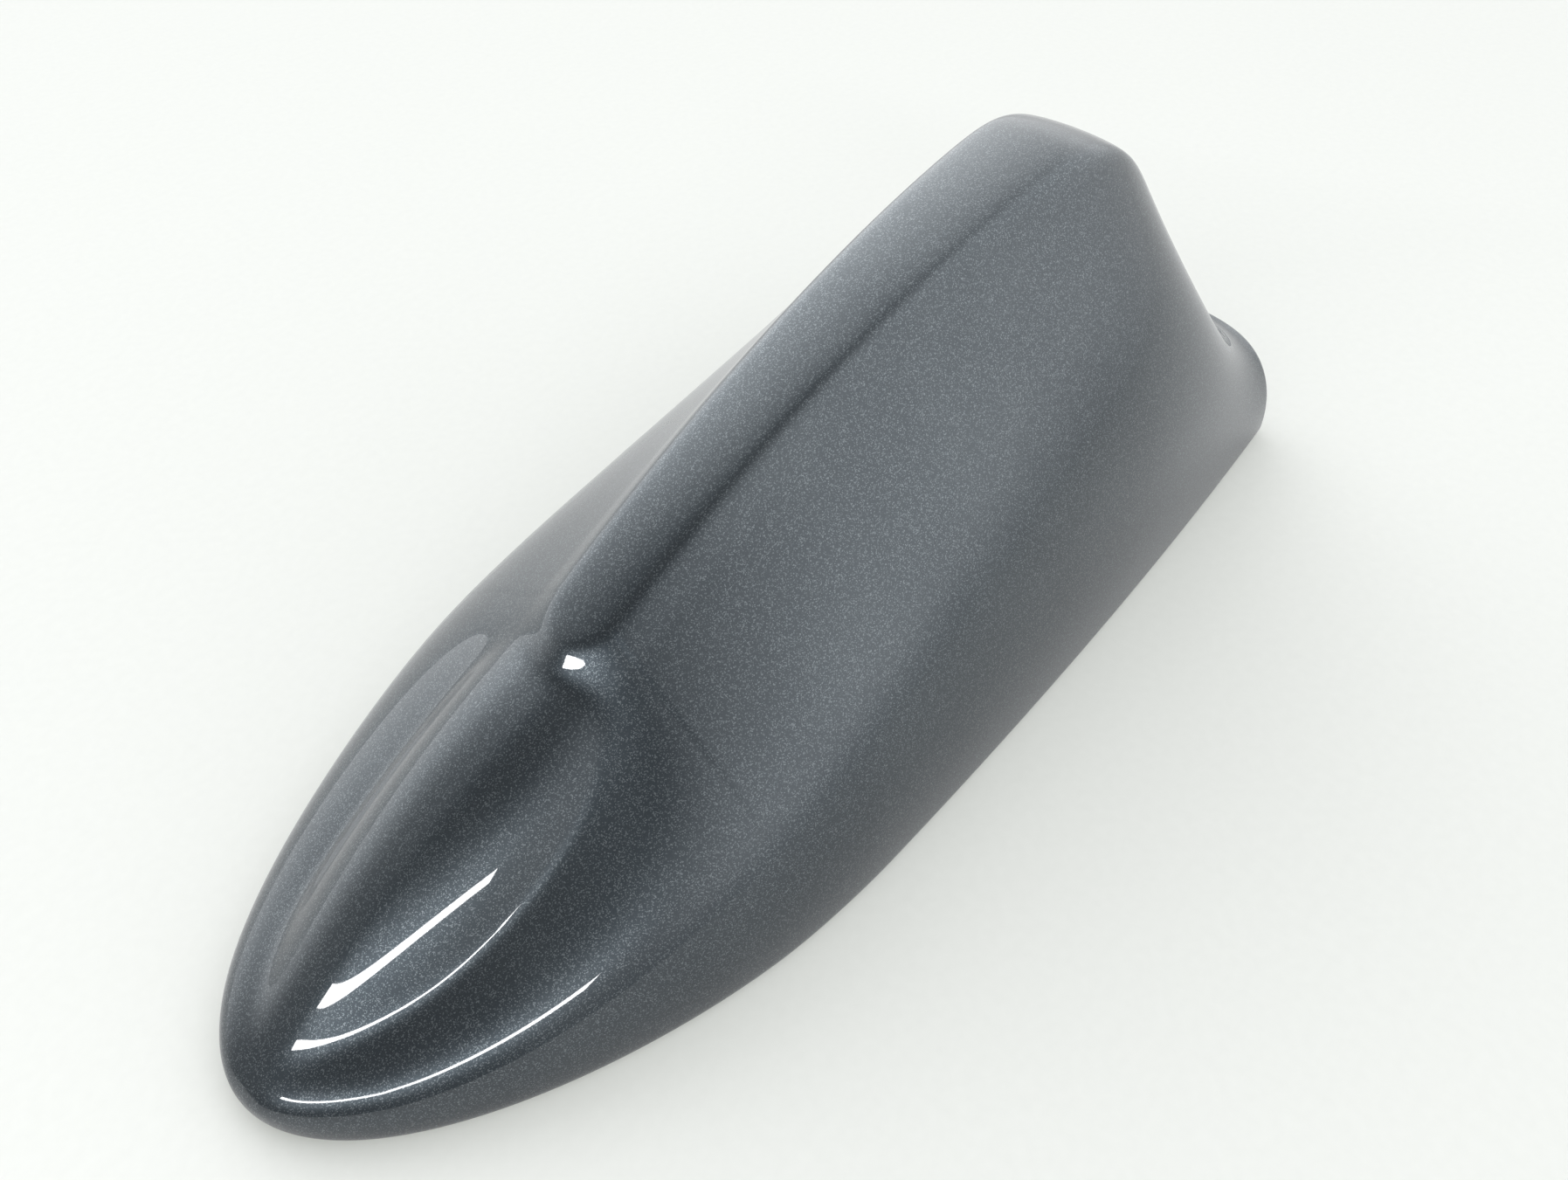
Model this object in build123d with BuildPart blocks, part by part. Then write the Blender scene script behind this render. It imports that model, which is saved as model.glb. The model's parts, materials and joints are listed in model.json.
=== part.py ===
# Fin-shaped roof antenna for a car, in millimetres: nose along +X, left side along +Y, standing on its rim at Z = 0.
# A station is a distance back from the tip of the nose.

import os
from math import cos, exp, hypot, pi, sin, sqrt

from build123d import *

os.makedirs("parts", exist_ok=True)

# Plan of the cover's rim
cover_length = 165.0
cover_half_width = 30.0
widest_station = 56.0
tail_half_width = 24.2
tail_rounding = 4.2
nose_fullness = 1.5
nose_roundness = 1.96
rim_fullness = 4.7
tail_flatness = 0.93

# Height of the widest line of the rim, and depth to which the rolled rim would go on below the roof
rim_height = 1.8
rim_undercut = 6.0
undercut_half_width = 12.0

# Skirt: the low shoulder all round
skirt_height = 12.6
skirt_run = 86.0

# Hood: the rounded hump over the nose
hood_height = 30.2
hood_peak_station = 68.5
hood_end_station = 149.5
hood_share_of_width = 0.63
hood_shoulder = 2.83
hood_blend = 3.0

# Fin: a flat strip that leaves the hood as a tongue and rises to the tail
fin_height = 56.3
fin_apex_station = 134.6
ridge_fullness = 1.92
ridge_turn_station = 119.5
ridge_turn_radius = 20.0
tongue_station = 45.4
strip_front_half_width = 3.9
strip_rear_half_width = 7.1
strip_end_station = 136.0
strip_crown = 0.5
crease_softness = 0.6
flank_flare = 23.1
rear_flare = 15.8
tongue_blend = 1.6
tail_blend = 4.0
blend_run = 60.0

# Walls and fits
cover_wall = 2.4
rebate_wall = 1.3
fit_gap = 0.15
soft_gap = 0.3

# Stack under the cover, from the roof up
pad_thickness = 0.8
plate_thickness = 2.0
seal_thickness = 0.8
post_height = 4.2
board_thickness = 1.6

# Base plate
pad_margin = 6.0
upstand_margin = 7.0
upstand_wall = 1.2
upstand_height = 2.4
post_radius = 2.6
board_post_stations = (52.0, 132.0)
board_post_offset = 12.5

# Screws and the bosses that take them
cover_screw_radius = 1.3
cover_screw_head_radius = 2.5
cover_screw_head_depth = 1.4
boss_radius = 3.2
boss_pilot_depth = 5.0
nose_boss_station = 21.0
side_boss_station = 84.0
side_boss_offset = 20.6
tail_boss_station = 151.0
tail_boss_offset = 11.0
board_screw_radius = 1.1
board_screw_length = 5.0
board_screw_head_radius = 2.0
board_screw_head_height = 1.4
pilot_gap = 0.05
driver_recess_width = 1.8
driver_recess_depth = 0.8

# Outlet for the lead, and its grommet
outlet_station = 145.0
outlet_radius = 4.5
grommet_flange_radius = 6.0
grommet_flange_thickness = 1.2
grommet_neck_height = 5.0
grommet_neck_radius = 3.6
lead_bore_radius = 2.25

# Main board
board_front_station = 30.0
board_shoulder_station = 46.0
board_end_station = 138.0
board_half_width = 16.0
board_front_half_width = 9.0
board_corner = 1.5

# Positioning antenna
patch_station = 46.0
patch_side = 18.0
patch_thickness = 4.0
patch_corner = 1.0
patch_tape_thickness = 0.6
patch_tape_margin = 1.0
electrode_margin = 1.8
electrode_thickness = 0.2
electrode_notch = 2.0
patch_pin_radius = 0.5
patch_pin_head_radius = 1.0
patch_pin_head_height = 0.4
patch_pin_offset = 1.6

# Amplifier under its can
can_station = 72.0
can_length = 26.0
can_width = 20.0
can_height = 3.6
can_wall = 0.3
can_vent_radius = 0.9
can_vent_pitch = 4.0
amplifier_side = 5.0
amplifier_thickness = 1.0
amplifier_shift = 5.0
filter_length = 3.8
filter_width = 3.0
filter_thickness = 1.2
filter_shift = 6.0
capacitor_length = 2.0
capacitor_width = 1.25
capacitor_height = 0.9
capacitor_count = 5
capacitor_pitch = 3.2
capacitor_offset = 13.0
capacitor_station = 66.0

# Coaxial socket
socket_station = 131.0
socket_offset = 5.6
socket_side = 5.2
socket_length = 6.0
socket_barrel_radius = 2.0
socket_barrel_length = 4.0
socket_bore_radius = 1.5
socket_core_radius = 0.4

# Upright board and what stands on it
fin_board_front_station = 92.0
fin_board_end_station = 128.0
fin_board_thickness = 1.0
fin_board_top_front_station = 99.0
element_room = 8.0
bracket_stations = (98.0, 122.0)
bracket_width = 6.0
bracket_leg = 5.0
bracket_sheet = 0.6
top_plate_half_width = 3.0
top_plate_sheet = 0.5
top_plate_flange = 6.0
top_plate_flange_lean = 3.0
top_plate_margin = 1.5
foam_length = 12.0
foam_half_width = 2.0
foam_station = 114.0

# Leaf springs
leaf_sheet = 0.4
leaf_width = 3.0
ground_spring_stations = (62.0, 112.0)
ground_spring_length = 7.0
ground_spring_foot = 2.5
feed_clip_station = 109.0
feed_clip_rise = 5.0
feed_clip_reach = 4.0
feed_clip_toe = 1.2
feed_clip_pad = 1.0


def along(station):
    return cover_length / 2 - station


def unit(value):
    return min(max(value, 0.0), 1.0)


def blended_top(one, other, softness):
    return (one + other + sqrt((one - other) ** 2 + softness**2)) / 2


# The rim's half width before the tail closes it. An inset draws the same shape smaller by a wall.
def side_line(station, inset=0.0):
    front = unit(1 - (station - inset) / (widest_station - inset))
    back = unit((station - widest_station) / (cover_length - inset - widest_station))
    full = (cover_half_width - inset) * (1 - front**nose_fullness) ** (1 / nose_roundness)
    return full - (cover_half_width - tail_half_width) * back**2


def tail_closing(station, inset=0.0):
    start = cover_length - inset - tail_rounding
    return (tail_flatness * unit((station - start) / tail_rounding)) ** 2


def rim_half_width(station, inset=0.0):
    return side_line(station, inset) * (1 - tail_closing(station, inset)) ** (1 / rim_fullness)


def ridge_height(station):
    climb = fin_height * (1 - unit(1 - station / fin_apex_station) ** ridge_fullness)
    return climb - max(station - ridge_turn_station, 0) ** 2 / (2 * ridge_turn_radius)


# Distance outside the flat strip on top of the fin, which is round in front and square behind
def beside_strip(station, y):
    tongue_centre = tongue_station + strip_front_half_width
    if station < tongue_centre:
        return hypot(tongue_centre - station, y) - strip_front_half_width
    if station > strip_end_station:
        behind = (station - strip_end_station) * flank_flare / rear_flare
        return (abs(y) ** 3 + behind**3) ** (1 / 3) - strip_rear_half_width
    share = unit((station - tongue_station) / (strip_end_station - tongue_station))
    return abs(y) - strip_front_half_width - (strip_rear_half_width - strip_front_half_width) * share


# Height of the cover over the roof: skirt, hood and fin melt into each other, and the rim rolls them down
def cover_height(station, y, inset=0.0):
    side = max(side_line(station, inset), 1e-6)
    growth = sqrt(1 - (1 - unit((station - inset) / (skirt_run - inset))) ** 2)
    skirt = (skirt_height - inset) * growth
    nose_climb = 1 - unit(1 - (station - inset) / (hood_peak_station - inset)) ** 2
    fade = (1 - unit((station - hood_peak_station) / (hood_end_station - hood_peak_station)) ** 2) ** 2
    across = exp(-((abs(y) / (hood_share_of_width * side)) ** hood_shoulder))
    hood = (hood_height - inset) * nose_climb * fade * across
    outside = beside_strip(station, y) + inset
    eased = (outside + sqrt(outside**2 + crease_softness**2)) / 2
    rise = max(ridge_height(station) - inset - rim_height - skirt, 0)
    crown = strip_crown * unit(abs(y) / strip_rear_half_width) ** 2
    fin = skirt + (rise - crown) * exp(-eased / flank_flare)
    softness = tongue_blend + (tail_blend - tongue_blend) * unit((station - tongue_station) / blend_run)
    form = blended_top(blended_top(skirt, hood, hood_blend * growth), fin, softness * growth)
    roll = max(1 - (abs(y) / side) ** rim_fullness - tail_closing(station, inset), 0)
    return rim_height + form * sqrt(roll)


# One cross section: the roof of the form, and the rolled rim going on below
def cover_section(station, inset, flank_points=8, strip_points=2):
    rim = rim_half_width(station, inset)
    share = unit((station - tongue_station) / (strip_end_station - tongue_station))
    strip = min(strip_front_half_width + (strip_rear_half_width - strip_front_half_width) * share, 0.3 * rim)
    offsets = [rim + (strip - rim) * (1 - cos(pi * i / flank_points)) / 2 for i in range(flank_points + 1)]
    offsets += [strip * (1 - i / strip_points) for i in range(1, strip_points + 1)]
    half = [(y, cover_height(station, y, inset)) for y in offsets]
    roof = half + [(-y, z) for y, z in reversed(half[:-1])]
    depth = rim_undercut * min(1.0, rim / undercut_half_width)
    belly = [(-rim, rim_height), (-0.7 * rim, rim_height - 0.8 * depth), (0, rim_height - depth)]
    belly += [(0.7 * rim, rim_height - 0.8 * depth), (rim, rim_height)]
    with BuildSketch(Plane((along(station), 0, 0), x_dir=(0, 1, 0), z_dir=(1, 0, 0))) as section:
        with BuildLine():
            steps = [i / (len(roof) - 1) for i in range(len(roof))]
            add(Edge.make_spline([Vector(*point) for point in roof], parameters=steps))
            Spline(*belly)
        make_face()
    return section.sketch.face()


def spread(first, last, steps, pull=1.0):
    return [first + (last - first) * (i / steps) ** pull for i in range(steps + 1)]


# The form as a chain of lofts from a point at the nose. Each span shares its first section with the one before.
def cover_chain(breaks, inset, tail_span=()):
    spans = [spread(inset, breaks[0][0], breaks[0][1], 2.0)]
    for (first, _), (last, steps) in zip(breaks, breaks[1:]):
        spans.append(spread(first, last, steps))
    if tail_span:
        spans.append(tail_span)
    chain = [[cover_section(station, inset) for station in span[1:]] for span in spans]
    starts = [Vertex(along(inset), 0, rim_height)] + [sections[-1] for sections in chain[:-1]]
    return [[start] + sections for start, sections in zip(starts, chain)]


# Stations that crowd together towards the tail, as its corner turns
def tail_stations(inset, steps):
    start = cover_length - inset - tail_rounding
    return [start + tail_rounding * sin(pi / 2 * i / steps) for i in range(steps + 1)]


# Face inside the rim, drawn smaller by an inset: two curves for each side and a straight tail
def rim_face(inset):
    tail_start = cover_length - inset - tail_rounding
    stations = spread(inset, widest_station, 7, 2.0) + spread(widest_station, tail_start, 4)[1:]
    side = [(along(station), rim_half_width(station, inset)) for station in stations]
    turn = [(along(station), rim_half_width(station, inset)) for station in tail_stations(inset, 3)]
    with BuildSketch() as outline:
        with BuildLine():
            flank = Spline(*side)
            Spline(*turn, tangents=(flank % 1, (0, -1)))
            mirror(about=Plane.XZ)
            Line(turn[-1], (turn[-1][0], -turn[-1][1]))
        make_face()
    return outline.sketch.face()


pad_top = pad_thickness
plate_top = pad_top + plate_thickness
step_height = plate_top + seal_thickness
board_bottom = plate_top + post_height
board_top = board_bottom + board_thickness

mid_station = (tongue_station + strip_end_station) / 2 + 10
tail_station = strip_end_station + 15
tail_start = cover_length - tail_rounding
outer_breaks = [
    (tongue_station / 2, 6),
    (tongue_station - 3.4, 5),
    (tongue_station + 1.6, 6),
    (tongue_station + 6.6, 5),
    (tongue_station + 20, 5),
    (mid_station, 5),
    (strip_end_station, 6),
    (tail_station, 6),
    (tail_start, 3),
]
inner_breaks = [
    (tongue_station / 2, 6),
    (tongue_station, 5),
    (tongue_station + 20, 5),
    (mid_station, 5),
    (strip_end_station, 5),
    (tail_station, 4),
    (tail_start - cover_wall, 3),
]
outer_chain = cover_chain(outer_breaks, 0, tail_stations(0, 3))
inner_chain = cover_chain(inner_breaks, cover_wall)

boss_places = [(along(nose_boss_station), 0)]
boss_places += [(along(side_boss_station), side * side_boss_offset) for side in (1, -1)]
boss_places += [(along(tail_boss_station), side * tail_boss_offset) for side in (1, -1)]
post_places = [
    (along(station), side * board_post_offset) for station in board_post_stations for side in (1, -1)
]

rebate_face = rim_face(rebate_wall)
plate_face = rim_face(rebate_wall + fit_gap)
seal_bore_face = rim_face(cover_wall + fit_gap)
upstand_face = rim_face(upstand_margin)
upstand_bore_face = rim_face(upstand_margin + upstand_wall)
pad_face = rim_face(pad_margin)

# Hollow of the cover, with the screw bosses left standing in it
with BuildPart() as hollow:
    for sections in inner_chain:
        loft(sections=sections)
    with BuildSketch(Plane.XY.offset(plate_top)):
        with Locations(*boss_places):
            Circle(boss_radius)
    extrude(amount=fin_height, mode=Mode.SUBTRACT)

# Cover: the moulded form, cut off at the roof, hollowed and rebated for the base plate
with BuildPart() as fin_cover:
    for sections in outer_chain:
        loft(sections=sections)
    split(bisect_by=Plane.XY, keep=Keep.TOP)
    add(hollow.part, mode=Mode.SUBTRACT)
    with BuildSketch():
        add(rebate_face)
    extrude(amount=step_height, mode=Mode.SUBTRACT)
    with BuildSketch(Plane.XY.offset(plate_top)):
        with Locations(*boss_places):
            Circle(boss_radius)
            Circle(cover_screw_radius + pilot_gap, mode=Mode.SUBTRACT)
    extrude(amount=seal_thickness)
    with BuildSketch(Plane.XY.offset(plate_top)):
        with Locations(*boss_places):
            Circle(cover_screw_radius + pilot_gap)
    extrude(amount=boss_pilot_depth, mode=Mode.SUBTRACT)
fin_cover.part.label = "fin_cover"
export_step(fin_cover.part, "parts/fin_cover.step")

# Base plate: tray in the rebate, with an upstand inside the cover, posts for the board and sunk screw holes
with BuildPart() as base_plate:
    with BuildSketch(Plane.XY.offset(pad_top)):
        add(plate_face)
    extrude(amount=plate_thickness)
    with BuildSketch(Plane.XY.offset(plate_top)):
        add(upstand_face)
        add(upstand_bore_face, mode=Mode.SUBTRACT)
        with Locations(*boss_places):
            Circle(boss_radius + soft_gap, mode=Mode.SUBTRACT)
    extrude(amount=upstand_height)
    with BuildSketch(Plane.XY.offset(plate_top)):
        with Locations(*post_places):
            Circle(post_radius)
    extrude(amount=post_height)
    with BuildSketch(Plane.XY.offset(board_bottom)):
        with Locations(*post_places):
            Circle(board_screw_radius + pilot_gap)
    extrude(amount=-board_screw_length, mode=Mode.SUBTRACT)
    with BuildSketch(Plane.XY.offset(pad_top)):
        with Locations((along(outlet_station), 0)):
            Circle(outlet_radius + fit_gap)
        with Locations(*boss_places):
            Circle(cover_screw_radius + fit_gap)
    extrude(amount=plate_thickness, mode=Mode.SUBTRACT)
    with BuildSketch(Plane.XY.offset(pad_top)):
        with Locations(*boss_places):
            Circle(cover_screw_head_radius + fit_gap)
    extrude(amount=cover_screw_head_depth, mode=Mode.SUBTRACT)
base_plate.part.label = "base_plate"
export_step(base_plate.part, "parts/base_plate.step")

# Edge seal: rubber ring between the plate and the step in the cover
with BuildPart() as edge_seal:
    with BuildSketch(Plane.XY.offset(plate_top)):
        add(plate_face)
        add(seal_bore_face, mode=Mode.SUBTRACT)
    extrude(amount=seal_thickness)
edge_seal.part.label = "edge_seal"
export_step(edge_seal.part, "parts/edge_seal.step")

# Adhesive pad under the plate, open round the screws and the outlet
with BuildPart() as adhesive_pad:
    with BuildSketch():
        add(pad_face)
        with Locations((along(outlet_station), 0)):
            Circle(grommet_flange_radius + soft_gap, mode=Mode.SUBTRACT)
        with Locations(*boss_places):
            Circle(cover_screw_head_radius + 2 * soft_gap, mode=Mode.SUBTRACT)
    extrude(amount=pad_thickness)
adhesive_pad.part.label = "adhesive_pad"
export_step(adhesive_pad.part, "parts/adhesive_pad.step")

# Grommet: two flanges that grip the plate and a tapered neck for the lead
neck_foot = plate_top + grommet_flange_thickness
neck_top = neck_foot + grommet_neck_height
with BuildPart() as lead_grommet:
    with BuildSketch(Plane.XZ):
        with BuildLine():
            Polyline(
                (lead_bore_radius, 0),
                (grommet_flange_radius, 0),
                (grommet_flange_radius, pad_top),
                (outlet_radius, pad_top),
                (outlet_radius, plate_top),
                (grommet_flange_radius, plate_top),
                (grommet_flange_radius, neck_foot),
                (outlet_radius, neck_foot),
                (grommet_neck_radius, neck_top),
                (lead_bore_radius, neck_top),
                close=True,
            )
        make_face()
    revolve(axis=Axis.Z)
lead_grommet.part.position = (along(outlet_station), 0, 0)
lead_grommet.part.label = "lead_grommet"
export_step(lead_grommet.part, "parts/lead_grommet.step")

# Main board: drawn in at the nose, drilled for its screws and the antenna's feed pin
pin_place = (along(patch_station) - patch_pin_offset, 0)
with BuildPart() as main_board:
    with BuildSketch(Plane.XY.offset(board_bottom)):
        with BuildLine():
            Polyline(
                (along(board_front_station), board_front_half_width),
                (along(board_shoulder_station), board_half_width),
                (along(board_end_station), board_half_width),
                (along(board_end_station), -board_half_width),
                (along(board_shoulder_station), -board_half_width),
                (along(board_front_station), -board_front_half_width),
                close=True,
            )
        outline = make_face()
        fillet(outline.vertices(), board_corner)
        with Locations(*post_places):
            Circle(board_screw_radius + fit_gap, mode=Mode.SUBTRACT)
        with Locations(pin_place):
            Circle(patch_pin_radius + fit_gap, mode=Mode.SUBTRACT)
    extrude(amount=board_thickness)
main_board.part.label = "main_board"
export_step(main_board.part, "parts/main_board.step")

# Positioning antenna: tape, ceramic block, silvered electrode with a tuned corner, and the feed pin
tape_top = board_top + patch_tape_thickness
patch_top = tape_top + patch_thickness
electrode_top = patch_top + electrode_thickness
patch_place = (along(patch_station), 0)

with BuildPart() as patch_tape:
    with BuildSketch(Plane.XY.offset(board_top)):
        with Locations(patch_place):
            Rectangle(patch_side - 2 * patch_tape_margin, patch_side - 2 * patch_tape_margin)
        with Locations(pin_place):
            Circle(patch_pin_radius + soft_gap, mode=Mode.SUBTRACT)
    extrude(amount=patch_tape_thickness)
patch_tape.part.label = "patch_tape"
export_step(patch_tape.part, "parts/patch_tape.step")

with BuildPart() as ceramic_patch:
    with BuildSketch(Plane.XY.offset(tape_top)):
        with Locations(patch_place):
            RectangleRounded(patch_side, patch_side, patch_corner)
        with Locations(pin_place):
            Circle(patch_pin_radius + fit_gap, mode=Mode.SUBTRACT)
    extrude(amount=patch_thickness)
ceramic_patch.part.label = "ceramic_patch"
export_step(ceramic_patch.part, "parts/ceramic_patch.step")

with BuildPart() as patch_electrode:
    with BuildSketch(Plane.XY.offset(patch_top)):
        with Locations(patch_place):
            plate = Rectangle(patch_side - 2 * electrode_margin, patch_side - 2 * electrode_margin)
        chamfer(plate.vertices().sort_by(Axis((0, 0, 0), (1, 1, 0)))[0::3], electrode_notch)
        with Locations(pin_place):
            Circle(patch_pin_radius + fit_gap, mode=Mode.SUBTRACT)
    extrude(amount=electrode_thickness)
patch_electrode.part.label = "patch_electrode"
export_step(patch_electrode.part, "parts/patch_electrode.step")

with BuildPart() as patch_pin:
    with BuildSketch(Plane.XY.offset(electrode_top)):
        with Locations(pin_place):
            Circle(patch_pin_head_radius)
    extrude(amount=patch_pin_head_height)
    with BuildSketch(Plane.XY.offset(electrode_top)):
        with Locations(pin_place):
            Circle(patch_pin_radius)
    extrude(amount=board_bottom - electrode_top)
patch_pin.part.label = "patch_pin"
export_step(patch_pin.part, "parts/patch_pin.step")

# Shield can: drawn tin lid with rows of vent holes, over the amplifier and its filter
can_place = (along(can_station), 0)
with BuildPart() as shield_can:
    with BuildSketch(Plane.XY.offset(board_top)):
        with Locations(can_place):
            Rectangle(can_length, can_width)
    extrude(amount=can_height)
    with BuildSketch(Plane.XY.offset(board_top)):
        with Locations(can_place):
            Rectangle(can_length - 2 * can_wall, can_width - 2 * can_wall)
    extrude(amount=can_height - can_wall, mode=Mode.SUBTRACT)
    with BuildSketch(Plane.XY.offset(board_top + can_height - can_wall)):
        with Locations(can_place):
            with GridLocations(can_vent_pitch, can_vent_pitch, 4, 3):
                RegularPolygon(can_vent_radius, 8)
    extrude(amount=can_wall, mode=Mode.SUBTRACT)
shield_can.part.label = "shield_can"
export_step(shield_can.part, "parts/shield_can.step")

with BuildPart() as amplifier_chip:
    with BuildSketch(Plane.XY.offset(board_top)):
        with Locations((along(can_station) + amplifier_shift, 0)):
            Rectangle(amplifier_side, amplifier_side)
    extrude(amount=amplifier_thickness)
    chamfer(amplifier_chip.edges().group_by(Axis.Z)[-1], can_wall)
amplifier_chip.part.label = "amplifier_chip"
export_step(amplifier_chip.part, "parts/amplifier_chip.step")

with BuildPart() as filter_chip:
    with BuildSketch(Plane.XY.offset(board_top)):
        with Locations((along(can_station) - filter_shift, 0)):
            Rectangle(filter_length, filter_width)
    extrude(amount=filter_thickness)
filter_chip.part.label = "filter_chip"
export_step(filter_chip.part, "parts/filter_chip.step")

with BuildPart() as chip_capacitors:
    with BuildSketch(Plane.XY.offset(board_top)):
        with Locations((along(capacitor_station), capacitor_offset)):
            with GridLocations(capacitor_pitch, 1, capacitor_count, 1):
                Rectangle(capacitor_width, capacitor_length)
    extrude(amount=capacitor_height)
chip_capacitors.part.label = "chip_capacitors"
export_step(chip_capacitors.part, "parts/chip_capacitors.step")

# Coaxial socket: square body with an open barrel that faces the tail, and its core pin
socket_face = along(socket_station) - socket_length / 2
socket_axis = Plane((socket_face, socket_offset, board_top + socket_side / 2), x_dir=(0, 1, 0), z_dir=(-1, 0, 0))
with BuildPart() as lead_socket:
    with BuildSketch(Plane.XY.offset(board_top)):
        with Locations((along(socket_station), socket_offset)):
            Rectangle(socket_length, socket_side)
    extrude(amount=socket_side)
    with BuildSketch(socket_axis):
        Circle(socket_barrel_radius)
    extrude(amount=socket_barrel_length)
    with BuildSketch(socket_axis):
        Circle(socket_bore_radius)
        Circle(socket_core_radius, mode=Mode.SUBTRACT)
    extrude(amount=socket_barrel_length, mode=Mode.SUBTRACT)
lead_socket.part.label = "lead_socket"
export_step(lead_socket.part, "parts/lead_socket.step")

# Upright board in the fin, flat on top, with its front edge drawn back along the rise of the fin
fin_board_top = ridge_height(fin_board_top_front_station) - element_room
with BuildPart() as fin_board:
    with BuildSketch(Plane.XZ.offset(-fin_board_thickness / 2)):
        with BuildLine():
            Polyline(
                (along(fin_board_front_station), board_top),
                (along(fin_board_top_front_station), fin_board_top),
                (along(fin_board_end_station), fin_board_top),
                (along(fin_board_end_station), board_top),
                close=True,
            )
        make_face()
    extrude(amount=fin_board_thickness)
fin_board.part.label = "fin_board"
export_step(fin_board.part, "parts/fin_board.step")


fin_face = fin_board_thickness / 2

# Angle brackets that hold the upright board to the main board, in pairs
with BuildPart() as board_brackets:
    with BuildSketch(*[Plane((along(station), 0, 0), x_dir=(0, 1, 0), z_dir=(1, 0, 0)) for station in bracket_stations]):
        with BuildLine():
            Polyline(
                (fin_face, board_top),
                (fin_face + bracket_leg, board_top),
                (fin_face + bracket_leg, board_top + bracket_sheet),
                (fin_face + bracket_sheet, board_top + bracket_sheet),
                (fin_face + bracket_sheet, board_top + bracket_leg),
                (fin_face, board_top + bracket_leg),
                close=True,
            )
        make_face()
        mirror(about=Plane.YZ)
    extrude(amount=bracket_width / 2, both=True)
board_brackets.part.label = "board_brackets"
export_step(board_brackets.part, "parts/board_brackets.step")

# Top plate: folded sheet that rides on the upright board and loads the broadcast antenna
plate_half_length = (fin_board_end_station - fin_board_top_front_station) / 2 - top_plate_margin
plate_middle = along((fin_board_end_station + fin_board_top_front_station) / 2)
hem = top_plate_half_width + top_plate_flange_lean
with BuildPart() as top_plate:
    with BuildSketch(Plane((plate_middle, 0, fin_board_top), x_dir=(0, 1, 0), z_dir=(1, 0, 0))):
        with BuildLine():
            Polyline(
                (hem, -top_plate_flange),
                (top_plate_half_width, top_plate_sheet),
                (-top_plate_half_width, top_plate_sheet),
                (-hem, -top_plate_flange),
                (-hem + top_plate_sheet, -top_plate_flange),
                (-top_plate_half_width + top_plate_sheet, 0),
                (top_plate_half_width - top_plate_sheet, 0),
                (hem - top_plate_sheet, -top_plate_flange),
                close=True,
            )
        make_face()
    extrude(amount=plate_half_length, both=True)
top_plate.part.label = "top_plate"
export_step(top_plate.part, "parts/top_plate.step")

# Foam block that keeps the top plate from rattling against the cover
foam_bottom = fin_board_top + top_plate_sheet
foam_top = cover_height(foam_station - foam_length / 2, foam_half_width, cover_wall) - soft_gap
with BuildPart() as rattle_foam:
    with BuildSketch(Plane.XY.offset(foam_bottom)):
        with Locations((along(foam_station), 0)):
            Rectangle(foam_length, 2 * foam_half_width)
    extrude(amount=foam_top - foam_bottom)
rattle_foam.part.label = "rattle_foam"
export_step(rattle_foam.part, "parts/rattle_foam.step")

# Feed clip: leaf on the main board that presses on the side of the upright board
with BuildPart() as feed_clip:
    with BuildSketch(Plane((along(feed_clip_station), 0, board_top), x_dir=(0, 1, 0), z_dir=(1, 0, 0))):
        with BuildLine():
            Polyline(
                (-fin_face - feed_clip_toe, 0),
                (-fin_face - feed_clip_reach, 0),
                (-fin_face - feed_clip_reach, leaf_sheet),
                (-fin_face - feed_clip_toe - leaf_sheet, leaf_sheet),
                (-fin_face - leaf_sheet, feed_clip_rise - feed_clip_pad),
                (-fin_face - leaf_sheet, feed_clip_rise),
                (-fin_face, feed_clip_rise),
                (-fin_face, feed_clip_rise - feed_clip_pad),
                close=True,
            )
        make_face()
    extrude(amount=leaf_width / 2, both=True)
feed_clip.part.label = "feed_clip"
export_step(feed_clip.part, "parts/feed_clip.step")

# Ground springs: bent leaves between the plate and the underside of the main board
with BuildPart() as ground_springs:
    with BuildSketch(Plane.XZ):
        for station in ground_spring_stations:
            with BuildLine(Location((along(station), plate_top))):
                Polyline(
                    (0, 0),
                    (ground_spring_foot, 0),
                    (ground_spring_length - ground_spring_foot, post_height - leaf_sheet),
                    (ground_spring_length, post_height - leaf_sheet),
                    (ground_spring_length, post_height),
                    (ground_spring_length - ground_spring_foot - leaf_sheet, post_height),
                    (ground_spring_foot - leaf_sheet, leaf_sheet),
                    (0, leaf_sheet),
                    close=True,
                )
            make_face()
    extrude(amount=leaf_width / 2, both=True)
ground_springs.part.label = "ground_springs"
export_step(ground_springs.part, "parts/ground_springs.step")

# Board screws: round heads on the main board, shanks down into the posts
with BuildPart() as board_screws:
    with BuildSketch(Plane.XY.offset(board_top)):
        with Locations(*post_places):
            Circle(board_screw_head_radius)
    extrude(amount=board_screw_head_height)
    with BuildSketch(Plane.XY.offset(board_top + board_screw_head_height)):
        with Locations(*post_places):
            RegularPolygon(driver_recess_width / 2, 6)
    extrude(amount=-driver_recess_depth, mode=Mode.SUBTRACT)
    with BuildSketch(Plane.XY.offset(board_top)):
        with Locations(*post_places):
            Circle(board_screw_radius)
    extrude(amount=soft_gap - board_thickness - board_screw_length)
board_screws.part.label = "board_screws"
export_step(board_screws.part, "parts/board_screws.step")

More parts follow.
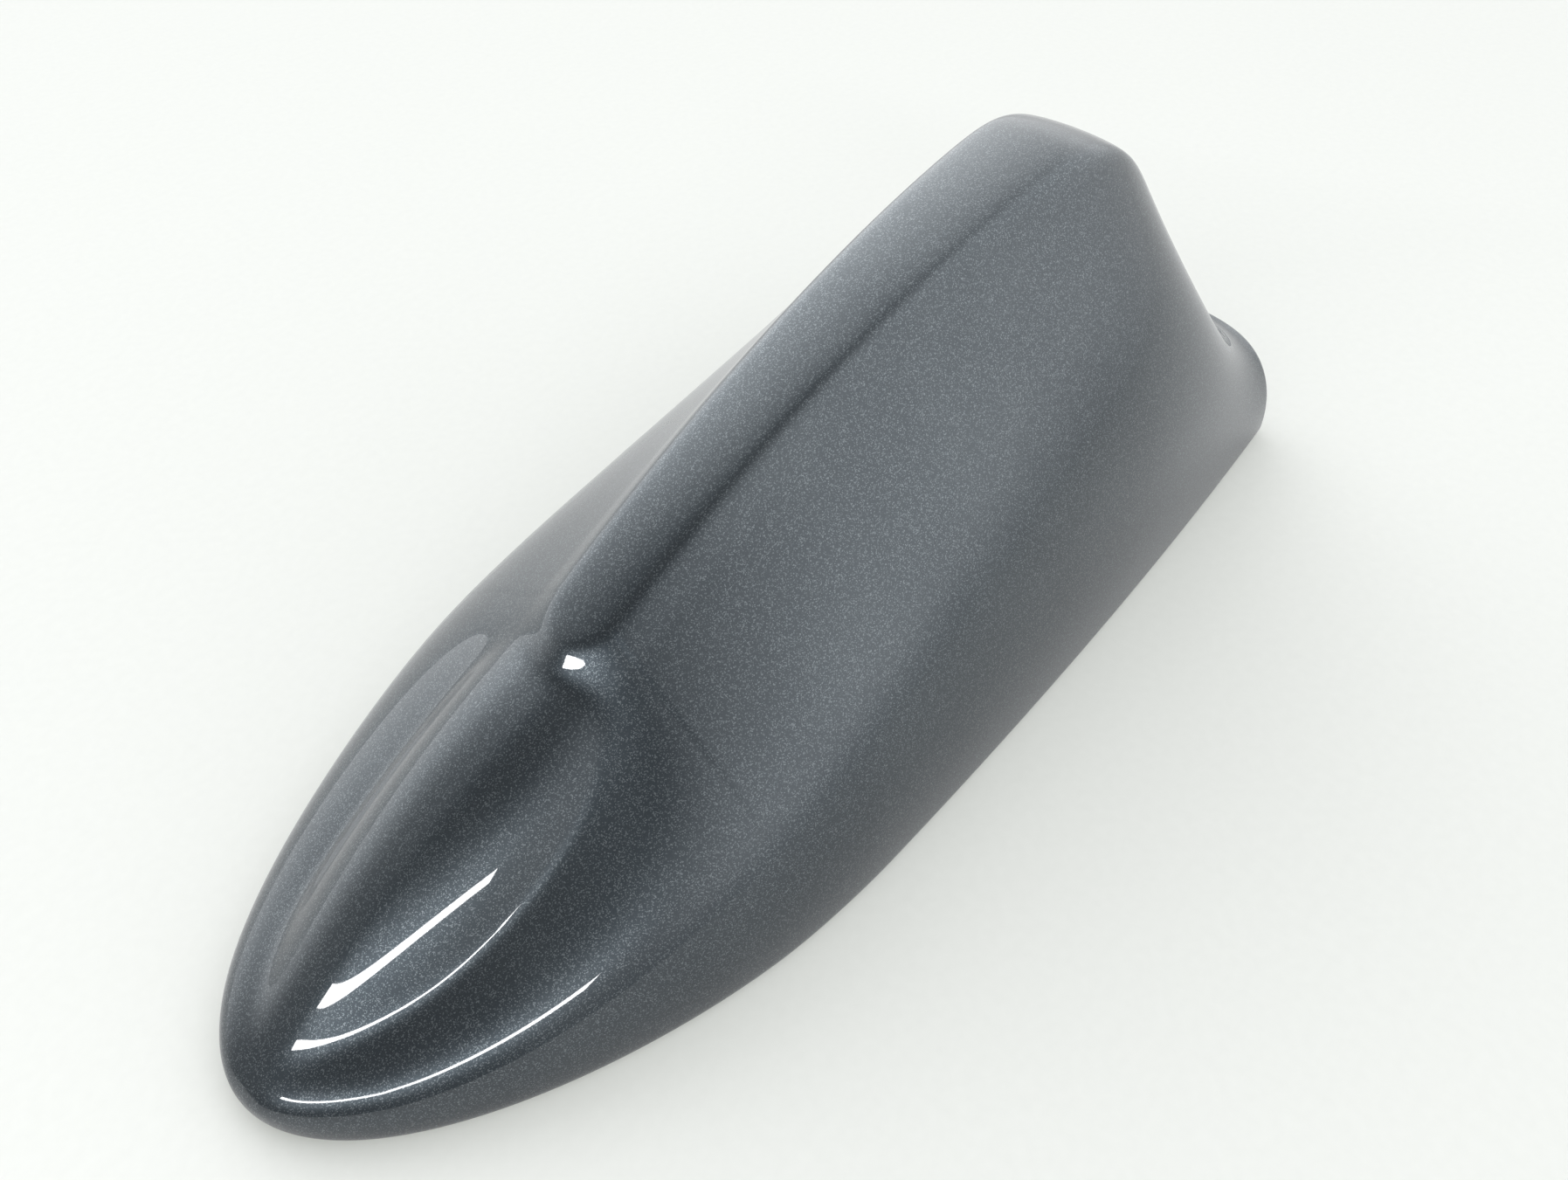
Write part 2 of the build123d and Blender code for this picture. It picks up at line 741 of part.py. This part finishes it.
# Cover screws: flat heads sunk in the plate from below, shanks up into the bosses
with BuildPart() as cover_screws:
    with BuildSketch(Plane.XY.offset(pad_top)):
        with Locations(*boss_places):
            Circle(cover_screw_head_radius)
    extrude(amount=cover_screw_head_depth)
    with BuildSketch(Plane.XY.offset(pad_top)):
        with Locations(*boss_places):
            RegularPolygon(driver_recess_width / 2, 6)
    extrude(amount=driver_recess_depth, mode=Mode.SUBTRACT)
    with BuildSketch(Plane.XY.offset(pad_top + cover_screw_head_depth)):
        with Locations(*boss_places):
            Circle(cover_screw_radius)
    extrude(amount=plate_thickness - cover_screw_head_depth + boss_pilot_depth - soft_gap)
cover_screws.part.label = "cover_screws"
export_step(cover_screws.part, "parts/cover_screws.step")
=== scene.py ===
# %% [markdown]
# # A fin-shaped car roof antenna
# The CAD frame holds every piece of the antenna in its true place. This lesson dresses the frame: it gives the
# big painted cover a smooth dense skin, gives each hidden piece a finish of its own, and sets up a small white
# studio with the camera where the photographer stood.

# %% Load the frame
import json
import math

import bpy
import numpy as np
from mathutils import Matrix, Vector


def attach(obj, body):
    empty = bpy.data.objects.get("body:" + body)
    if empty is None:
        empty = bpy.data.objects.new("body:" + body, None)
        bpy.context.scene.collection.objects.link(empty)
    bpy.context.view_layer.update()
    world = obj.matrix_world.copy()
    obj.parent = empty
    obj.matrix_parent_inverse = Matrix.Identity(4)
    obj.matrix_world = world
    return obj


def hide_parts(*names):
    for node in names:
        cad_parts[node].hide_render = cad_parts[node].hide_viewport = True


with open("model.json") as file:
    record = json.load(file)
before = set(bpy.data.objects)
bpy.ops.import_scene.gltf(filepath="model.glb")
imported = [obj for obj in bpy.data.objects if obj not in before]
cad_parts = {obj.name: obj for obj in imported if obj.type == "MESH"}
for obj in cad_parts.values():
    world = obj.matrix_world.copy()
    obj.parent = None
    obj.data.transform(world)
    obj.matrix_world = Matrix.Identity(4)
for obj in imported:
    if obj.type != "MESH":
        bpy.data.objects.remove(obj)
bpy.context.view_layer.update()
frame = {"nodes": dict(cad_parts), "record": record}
nodes = frame["nodes"]
print("frame pieces:", len(nodes))

# %% [markdown]
# ## A short way to write shader maths
# Blender shaders are graphs of nodes, and long graphs are hard to read as code. A small class can stand for one
# output socket, so that plain arithmetic on it adds the maths nodes. Everything that is not arithmetic goes
# through one method, which takes the node's type, its settings and then its sockets, by name or by number.


# %% Shader maths as plain arithmetic
class Wire:
    def __init__(self, tree, socket):
        self.tree = tree
        self.socket = socket

    def node(self, kind, settings, out=0, **sockets):
        made = self.tree.nodes.new(kind)
        for name, value in settings.items():
            setattr(made, name, value)
        for name, value in sockets.items():
            key = int(name[1:]) if name[1:].isdigit() else name.replace("_", " ")
            plug(self.tree, made.inputs[key], value)
        return Wire(self.tree, made.outputs[out])

    def maths(self, operation, *values):
        named = {f"_{i}": value for i, value in enumerate(values)}
        return self.node("ShaderNodeMath", {"operation": operation}, **named)

    def __add__(self, other):
        return self.maths("ADD", self, other)

    def __radd__(self, other):
        return self.maths("ADD", other, self)

    def __sub__(self, other):
        return self.maths("SUBTRACT", self, other)

    def __rsub__(self, other):
        return self.maths("SUBTRACT", other, self)

    def __mul__(self, other):
        return self.maths("MULTIPLY", self, other)

    def __rmul__(self, other):
        return self.maths("MULTIPLY", other, self)

    def __truediv__(self, other):
        return self.maths("DIVIDE", self, other)

    def __rtruediv__(self, other):
        return self.maths("DIVIDE", other, self)

    def __pow__(self, other):
        return self.maths("POWER", self, other)

    def __rpow__(self, other):
        return self.maths("POWER", other, self)

    def step(self, low, high):
        smooth = {"interpolation_type": "SMOOTHSTEP"}
        return self.node("ShaderNodeMapRange", smooth, _0=self, _1=low, _2=high)

    def blend(self, start, end):
        return self.node("ShaderNodeMix", {"data_type": "RGBA"}, out=2, _0=self, _6=start, _7=end)

    def tint(self, dark, light):
        return self.blend((*dark, 1), (*light, 1))


def plug(tree, socket, value):
    if isinstance(value, Wire):
        tree.links.new(value.socket, socket)
    else:
        socket.default_value = value


print("shader maths ready")

# %% [markdown]
# ## Starting a finish
# Every finish starts the same way: a new material with one Principled shader, and the object's own coordinates
# for its patterns. Object coordinates are in metres here, so a scale of 1000 makes cells of a millimetre.


# %% Start a finish
def start_finish(name):
    material = bpy.data.materials.new(name)
    material.use_nodes = True
    tree = material.node_tree
    shader = tree.nodes["Principled BSDF"]
    place = Wire(tree, tree.nodes.new("ShaderNodeTexCoord").outputs["Object"])
    return material, shader, place


def noise(place, scale, detail=3.0):
    return place.node("ShaderNodeTexNoise", {}, Vector=place, Scale=scale, Detail=detail)


def cells(place, scale, out):
    return place.node("ShaderNodeTexVoronoi", {}, out=out, Vector=place, Scale=scale)


def set_shader(shader, **values):
    for name, value in values.items():
        plug(shader.id_data, shader.inputs[name.replace("_", " ")], value)


def add_bump(place, shader, height, distance, strength=0.5):
    bump = place.node("ShaderNodeBump", {}, Height=height, Distance=distance, Strength=strength)
    set_shader(shader, Normal=bump)


print("finish helpers ready")

# %% [markdown]
# ## The cover's paint
# The cover is moulded plastic in a dark blue-grey metallic paint. Metallic paint is a dark base with tiny
# aluminium flakes in it, under a thick clear coat. The flakes can be made one by one as cells of a fine Voronoi
# pattern: each cell has a random value, and only the brightest cells become silver. The clear coat is the shader's
# own coat layer, so window reflections stay sharp while the flakes below stay soft.

# %% Metallic paint under a clear coat
paint, shader, place = start_finish("cover_paint")
flake_size = 0.0001
silver = (0.34, 0.38, 0.40, 1)
random_cell = cells(place, 1 / flake_size, "Color")
chance = place.node("ShaderNodeSeparateColor", {}, Color=random_cell)
flake = chance.step(0.70, 1.0)
cloud = noise(place, 60, 2)
body = cloud.step(0.3, 0.7).tint((0.046, 0.057, 0.067), (0.057, 0.069, 0.079))
colour = (flake * 0.4).blend(body, silver)
set_shader(shader, Base_Color=colour, Metallic=0.85, Roughness=0.32 + 0.06 * cloud)
set_shader(shader, Coat_Weight=1.0, Coat_Roughness=0.02, Coat_IOR=1.5)
print("paint flakes of", flake_size * 1000, "mm")

# %% [markdown]
# ## The cover's sizes
# The cover is four forms melted together: a low skirt all round, a rounded hood over the nose, a flat-topped fin
# that leaves the hood as a tongue and rises to the tail, and a rolled rim. Their sizes were read off the photo
# through the fitted camera. They are in millimetres, and a station is a distance back from the nose's tip.

# %% Sizes of the cover
length, half_width, widest = 165.0, 30.04, 56.0
tail_half, tail_round, tail_flatness = 24.2, 4.2, 0.93
rim_height, rim_power = 1.8, 4.7
skirt_height, skirt_run = 12.6, 86.0
hood_height, hood_peak, hood_fade = 30.2, 68.5, 81.0
fin_height, fin_peak, fin_turn = 56.3, 134.6, 119.5
tongue, strip_end = 45.4, 136.0
strip_front, strip_rear = 3.9, 7.1
side_flare, back_flare = 23.1, 15.8
edge_softness, hood_softness = 0.6, 3.0
print("cover:", length, "mm long")

# %% [markdown]
# ## The rim's outline
# Seen from above, the rim is a pointed oval in front and a slow taper behind, closed by a nearly square tail. Two
# curves give the oval and the taper, each simple to fit to the photo. Where they meet they would leave a faint
# corner, which the real rim doesn't have, so the outline is averaged over a short reach there.


# %% Outline of the rim
def unit(value):
    return np.clip(value, 0.0, 1.0)


def two_curves(station):
    front = unit(1 - station / widest)
    back = unit((station - widest) / (length - widest))
    return half_width * (1 - front**1.5) ** (1 / 1.96) - (half_width - tail_half) * back**2


def side_line(station):
    reach = 10 * np.exp(-(((station - widest) / 18) ** 2))
    shifts = np.linspace(-1, 1, 25)
    return sum(two_curves(station + shift * reach) for shift in shifts) / len(shifts)


def tail_closing(station):
    return (tail_flatness * unit((station - (length - tail_round)) / tail_round)) ** 2


def rim_half_width(station):
    return side_line(station) * (1 - tail_closing(station)) ** (1 / rim_power)


print("half width at the tongue:", round(float(rim_half_width(tongue)), 2), "mm")

# %% [markdown]
# ## The cover's form
# The form could be sculpted, but formulas for the height of each part keep it the same as the CAD cover and stay
# smooth at any density. A soft maximum melts one form into the next, as the moulder's fillets do. The fin falls
# away from its top strip on a curve that is steep at the strip and flat at the skirt.


# %% Height of the cover
def soft_max(one, other, softness):
    return (one + other + np.sqrt((one - other) ** 2 + softness**2)) / 2


def ridge(station):
    climb = fin_height * (1 - unit(1 - station / fin_peak) ** 1.92)
    return climb - np.maximum(station - fin_turn, 0) ** 2 / 40


def beside_strip(station, y):
    share = unit((station - tongue) / (strip_end - tongue))
    middle = np.abs(y) - strip_front - (strip_rear - strip_front) * share
    front = np.hypot(tongue + strip_front - station, y) - strip_front
    behind = np.maximum(station - strip_end, 0) * side_flare / back_flare
    rear = (np.abs(y) ** 3 + behind**3) ** (1 / 3) - strip_rear
    return np.where(station < tongue + strip_front, front, np.where(station > strip_end, rear, middle))


def cover_height(station, y):
    side = np.maximum(side_line(station), 1e-6)
    growth = np.sqrt(1 - (1 - unit(station / skirt_run)) ** 2)
    skirt = skirt_height * growth
    climb = 1 - unit(1 - station / hood_peak) ** 2
    fade = (1 - unit((station - hood_peak) / hood_fade) ** 2) ** 2
    hood = hood_height * climb * fade * np.exp(-((np.abs(y) / (0.63 * side)) ** 2.83))
    outside = soft_max(beside_strip(station, y), 0, edge_softness)
    rise = np.maximum(ridge(station) - rim_height - skirt, 0)
    fin = skirt + (rise - 0.5 * unit(np.abs(y) / strip_rear) ** 2) * np.exp(-outside / side_flare)
    fin_softness = (0.9 + 3.1 * unit((station - tongue) / 60)) * growth
    form = soft_max(soft_max(skirt, hood, hood_softness * growth), fin, fin_softness)
    roll = np.maximum(1 - (np.abs(y) / side) ** rim_power - tail_closing(station), 0)
    return rim_height + form * np.sqrt(roll)


print("top of the fin:", round(float(cover_height(np.array(119.0), np.array(0.0))), 2), "mm")

# %% [markdown]
# ## Skinning the form
# The skin is a grid: rows follow stations from nose to tail, and each row runs from rim to rim. Points crowd
# together where the form bends most: at the nose, at the tongue, at the rolled rim and at the tail's corner. A
# height for every grid point is quicker than sculpting, and the dense grid shows no facets in the clear coat. The
# back of the fin is eased many times along the rows, because the real one flows into the tail with no edge.


# %% Grid of the cover's skin
def row_stations(nose, hood, tongue_rows, fin, tail):
    corner = length - tail_round
    rows = [0.02 + 11.98 * np.linspace(0, 1, nose) ** 2]
    rows.append(np.linspace(12, 41, hood)[1:])
    rows.append(np.linspace(41, 56, tongue_rows)[1:])
    rows.append(np.linspace(56, corner, fin)[1:])
    rows.append(corner + tail_round * np.sin(np.linspace(0, math.pi / 2, tail))[1:])
    return np.concatenate(rows)


station = row_stations(46, 60, 46, 150, 26)[:, None]
share = np.sin(np.linspace(-1, 1, 181) * math.pi / 2)[None, :]
across = rim_half_width(station) * share
height = cover_height(station + 0 * across, across)
easing = unit((station - 112) / 14) * unit((length - tail_round - station) / 6)
for _ in range(60):
    eased = height.copy()
    eased[1:-1] = (height[:-2] + 2 * height[1:-1] + height[2:]) / 4
    height += easing * (eased - height)
grid = np.stack([length / 2 - station + 0 * across, across, height], axis=-1)
rows, columns = grid.shape[:2]
index = np.arange(rows * columns).reshape(rows, columns)
corners = [index[:-1, :-1], index[1:, :-1], index[1:, 1:], index[:-1, 1:]]
faces = np.stack(corners, axis=-1).reshape(-1, 4)
print("skin:", rows, "rows of", columns, "points")

# %% [markdown]
# ## The lip under the rim
# Below its widest line the rim turns in before it meets the roof, and a rebate inside it takes the base plate. Both
# are rings: each ring is the outline of the rim, drawn in a little and set lower or higher than the last. Drawing
# in means moving each point along the outline's own normal, so the lip has the same width all round.


# %% Rings of the lip
def drawn_in(loop, amount, height):
    ahead = np.roll(loop, -1, axis=0) - np.roll(loop, 1, axis=0)
    inward = np.stack([-ahead[:, 1], ahead[:, 0]], axis=-1)
    inward /= np.maximum(np.linalg.norm(inward, axis=-1, keepdims=True), 1e-9)
    inward *= -np.sign(np.sum(loop[:, :2] * inward, axis=-1, keepdims=True))
    return np.column_stack([loop[:, :2] + amount * inward, np.full(len(loop), height)])


loop = np.concatenate([index[:, 0], index[-1, 1:-1], index[::-1, -1]])
outline = grid.reshape(-1, 3)[loop]
lip_turn = 0.9
rebate_wall, rebate_top = 1.3, 3.55
rings = []
for angle in np.linspace(0.2, math.pi / 2, 7):
    rings.append(drawn_in(outline, lip_turn * (1 - math.cos(angle)), rim_height * (1 - math.sin(angle))))
rings.append(drawn_in(outline, 1.28, 0.0))
rings.append(drawn_in(outline, rebate_wall, 0.05))
rings.append(drawn_in(outline, rebate_wall, rebate_top))
points = [grid.reshape(-1, 3)]
for number, ring in enumerate(rings):
    fresh = np.arange(len(loop)) + rows * columns + number * len(loop)
    band = np.stack([loop, fresh, np.roll(fresh, -1), np.roll(loop, -1)], axis=-1)
    faces = np.concatenate([faces, band])
    points.append(ring)
    loop = fresh
print("lip rings:", len(rings))

# %% [markdown]
# ## The cover itself
# On the real antenna the cover is one moulding. Here the grid and the lip become one mesh too, which stands in for
# the CAD cover. It could carry a subdivision modifier instead of a dense grid, but the plain mesh follows the
# formula exactly.

# %% Make the cover
mesh = bpy.data.meshes.new("cover_skin")
mesh.from_pydata((np.concatenate(points) / 1000).tolist(), [], faces.tolist())
mesh.validate()
mesh.shade_smooth()
cover = bpy.data.objects.new("cover_skin", mesh)
bpy.context.scene.collection.objects.link(cover)
mesh.materials.append(paint)
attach(cover, "root")
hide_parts("fin_cover")
print("cover triangles:", 2 * len(mesh.polygons))

# %% [markdown]
# ## Moulded plastic, rubber and foam
# The base plate, seal, grommet, pad and foam are all matt and dark. What tells them apart is grain: moulded plastic
# is finely pebbled, rubber is smoother with a dusty bloom, and foam is full of small cells. One helper can make all
# of them, and the ceramic and chips too, from a noise for the tone and a cell pattern for the surface. The table
# gives each finish its dark and light tones, its grain and depth in metres, and its roughness.


# %% Matt finishes
def matt_finish(slot, dark, light, grain, depth, rough):
    material, shader, place = start_finish(slot)
    cloud = noise(place, 90, 4)
    tone = cloud.step(0.3, 0.7)
    set_shader(shader, Base_Color=tone.tint(dark, light), Roughness=rough - 0.12 * cloud)
    add_bump(place, shader, cells(place, 1 / grain, "Distance"), depth)
    return material


matt_table = {
    "base_plastic": ((0.022, 0.022, 0.024), (0.04, 0.04, 0.043), 0.0005, 0.00005, 0.62),
    "seal_rubber": ((0.012, 0.012, 0.012), (0.03, 0.03, 0.029), 0.0003, 0.00002, 0.75),
    "pad_foam": ((0.03, 0.03, 0.031), (0.06, 0.06, 0.06), 0.0006, 0.00012, 0.9),
    "foam_grey": ((0.12, 0.12, 0.125), (0.24, 0.24, 0.25), 0.0008, 0.0003, 0.95),
    "chip_black": ((0.018, 0.018, 0.019), (0.035, 0.035, 0.036), 0.0002, 0.00001, 0.5),
    "patch_ceramic": ((0.5, 0.43, 0.33), (0.64, 0.57, 0.46), 0.0003, 0.00002, 0.7),
    "patch_adhesive": ((0.6, 0.6, 0.57), (0.74, 0.74, 0.71), 0.0004, 0.00002, 0.6),
    "capacitor_body": ((0.3, 0.2, 0.12), (0.46, 0.34, 0.23), 0.0002, 0.00001, 0.5),
}
finishes = {slot: matt_finish(slot, *values) for slot, values in matt_table.items()}
print("matt finishes:", len(finishes))

# %% [markdown]
# ## Sheet metal, springs and screws
# The brackets, can and top plate are tinned steel, the springs and socket are bronze and brass, and the screws are
# zinc-plated. Rolled metal has long faint streaks, which a noise stretched along one axis gives. The streaks drive
# the roughness, so they show only in reflections, as on the real thing. The table gives each metal its dark and
# light tones, its roughness and the stretch of its streaks.


# %% Metal finishes
def metal_finish(slot, dark, light, rough, stretch):
    material, shader, place = start_finish(slot)
    drawn = place.node("ShaderNodeMapping", {}, Vector=place, Scale=stretch)
    streak = noise(drawn, 1.0, 4)
    tone = noise(place, 150, 3).step(0.3, 0.7)
    roughness = rough + 0.25 * (streak - 0.5)
    set_shader(shader, Base_Color=tone.tint(dark, light), Metallic=1.0, Roughness=roughness)
    add_bump(place, shader, streak, 0.00001, 0.3)
    return material


rolled = (60, 900, 900)
metal_table = {
    "tinned_sheet": ((0.5, 0.5, 0.48), (0.68, 0.68, 0.66), 0.36, rolled),
    "spring_leaf": ((0.6, 0.42, 0.18), (0.78, 0.58, 0.3), 0.3, rolled),
    "patch_silver": ((0.68, 0.67, 0.62), (0.84, 0.83, 0.79), 0.42, (400, 400, 400)),
    "pin_metal": ((0.6, 0.58, 0.52), (0.76, 0.74, 0.68), 0.3, rolled),
    "filter_metal": ((0.6, 0.55, 0.42), (0.76, 0.7, 0.56), 0.32, rolled),
    "socket_brass": ((0.72, 0.5, 0.2), (0.9, 0.68, 0.32), 0.24, rolled),
    "screw_steel": ((0.44, 0.44, 0.45), (0.6, 0.6, 0.62), 0.34, (300, 300, 80)),
}
for slot, values in metal_table.items():
    finishes[slot] = metal_finish(slot, *values)
print("finishes so far:", len(finishes))

# %% [markdown]
# ## Circuit boards
# A circuit board is woven glass under a green lacquer, and the weave just shows through. Two waves at right angles,
# multiplied, give that weave. Broad copper areas under the lacquer look a little lighter than bare board, and large
# cells with a random tone stand for them.


# %% Board finish
def wave(place, axis):
    bands = {"bands_direction": axis}
    return place.node("ShaderNodeTexWave", bands, Vector=place, Scale=400, Distortion=0.3)


board, shader, place = start_finish("board_green")
weave = wave(place, "X") * wave(place, "Y")
copper = cells(place, 160, "Color").step(0.45, 0.5)
tone = 0.3 * weave + 0.6 * copper
lacquer = tone.tint((0.006, 0.045, 0.02), (0.03, 0.16, 0.07))
set_shader(shader, Base_Color=lacquer, Roughness=0.32 + 0.15 * weave)
add_bump(place, shader, copper, 0.00004)
finishes["board_green"] = board
finishes["cover_paint"] = paint
print("finishes in all:", len(finishes))

# %% [markdown]
# ## Dressing the frame
# The record names the material of every piece, as a parts list does. Finishes could be given piece by piece, but
# going through the record's own list can't miss one.

# %% Put the finishes on the frame
slot_of = {row["node"]: row["material_slot"] for row in frame["record"]["subparts"]}
for name, node in nodes.items():
    node.data.materials.clear()
    node.data.materials.append(finishes[slot_of[name]])
print("dressed pieces:", len(slot_of))

# %% [markdown]
# ## A white studio
# The antenna lies on a white sheet in a bright room. The sheet is a plain pale floor. A white picture of it could
# be had with more light, but that would wash out the dark paint, so the floor gives a little of its own light to
# the camera only: the paint sees the floor as it is, and the soft shadow under the rim stays.

# %% Floor
sheet, shader, place = start_finish("white_sheet")
seen = place.node("ShaderNodeLightPath", {}, out="Is Camera Ray")
fibre = noise(place, 700, 3)
paper = fibre.tint((0.62, 0.62, 0.61), (0.66, 0.66, 0.65))
set_shader(shader, Base_Color=paper, Roughness=0.9 + 0.05 * fibre)
set_shader(shader, Emission_Color=seen.tint((0, 0, 0), (0.175, 0.185, 0.16)), Emission_Strength=1.0)
bpy.ops.mesh.primitive_plane_add(size=6.0, location=(0, 0, -0.00005))
floor = bpy.context.object
floor.name = "floor"
floor.data.materials.append(sheet)
print("floor laid")

# %% [markdown]
# ## The room
# The clear coat mirrors the room, so the room's brightness is part of the finish. A white room could be modelled
# wall by wall, but a smooth sky does the same with less: bright behind the tail, over the far side and at a large
# window high on that side, and dark where the photographer stands. Behind the tail it fades towards the floor's own
# brightness, so the flank shows no hard horizon. The camera itself sees a plain white backdrop in its place.

# %% Room
world = bpy.data.worlds.new("room")
bpy.context.scene.world = world
world.use_nodes = True
tree = world.node_tree
sky = Wire(tree, tree.nodes.new("ShaderNodeTexCoord").outputs["Generated"])


def towards(direction, low, high):
    aim = Vector(direction).normalized()
    dot = {"operation": "DOT_PRODUCT"}
    return sky.node("ShaderNodeVectorMath", dot, out="Value", _0=sky, _1=aim).step(low, high)


beside_tail = towards((-0.75, 0.65, 0.1), -0.1, 0.85)
far_side = towards((-0.1, -0.95, 0), 0.3, 0.95)
overhead = towards((-0.3, -0.2, 1), 0.4, 1.0)
large_window = towards((-0.27, -0.7, 0.65), 0.75, 1.0)
above_floor = towards((0, 0, 1), 0.0, 0.3)
tail_light = beside_tail * (0.8 + 0.7 * above_floor)
brightness = 0.07 + tail_light + 1.7 * far_side + 0.25 * overhead + 1.1 * large_window
glow = (brightness / 3).tint((0, 0, 0), (2.91, 2.97, 3.0))
seen = sky.node("ShaderNodeLightPath", {}, out="Is Camera Ray")
backdrop = seen.blend(glow, (0.96, 0.97, 0.94, 1))
plug(tree, tree.nodes["Background"].inputs["Color"], backdrop)
print("room made")

# %% [markdown]
# ## A narrow window
# One window is left as a real lamp: a long narrow one over the photographer's shoulder, which draws the thin bright
# line along the crest of the hood. It could be painted into the sky too, but a lamp gives the line its sharp edge
# with little noise.

# %% Window
lamp = bpy.data.lights.new("narrow_window", "AREA")
lamp.shape = "RECTANGLE"
lamp.size, lamp.size_y = 1.7, 0.06
lamp.energy = 8.0
lamp_place = Vector((1.04, 0.34, 0.61))
lit_place = Vector((0.04, 0, 0.02))
narrow_window = bpy.data.objects.new("narrow_window", lamp)
narrow_window.location = lamp_place
narrow_window.rotation_euler = (lit_place - lamp_place).to_track_quat("-Z", "Y").to_euler()
bpy.context.scene.collection.objects.link(narrow_window)
print("lights:", len(bpy.data.lights))

# %% [markdown]
# ## The camera
# The camera stands where the photographer stood: above the nose, on the near side, looking down along the fin. Its
# place was found by fitting the antenna's outline to the photo.

# %% Camera and view
lens = bpy.data.cameras.new("photo_camera")
lens.sensor_width = 36.0
lens.lens = 28.08
lens.clip_start = 0.005
camera = bpy.data.objects.new("photo_camera", lens)
camera.location = (0.0805, 0.0693, 0.122)
camera.rotation_euler = (math.radians(43.25), 0, math.radians(132.18))
scene = bpy.context.scene
scene.collection.objects.link(camera)
scene.camera = camera
scene.render.resolution_x, scene.render.resolution_y = 1795, 1351
scene.view_settings.view_transform = "Standard"
print("camera set")
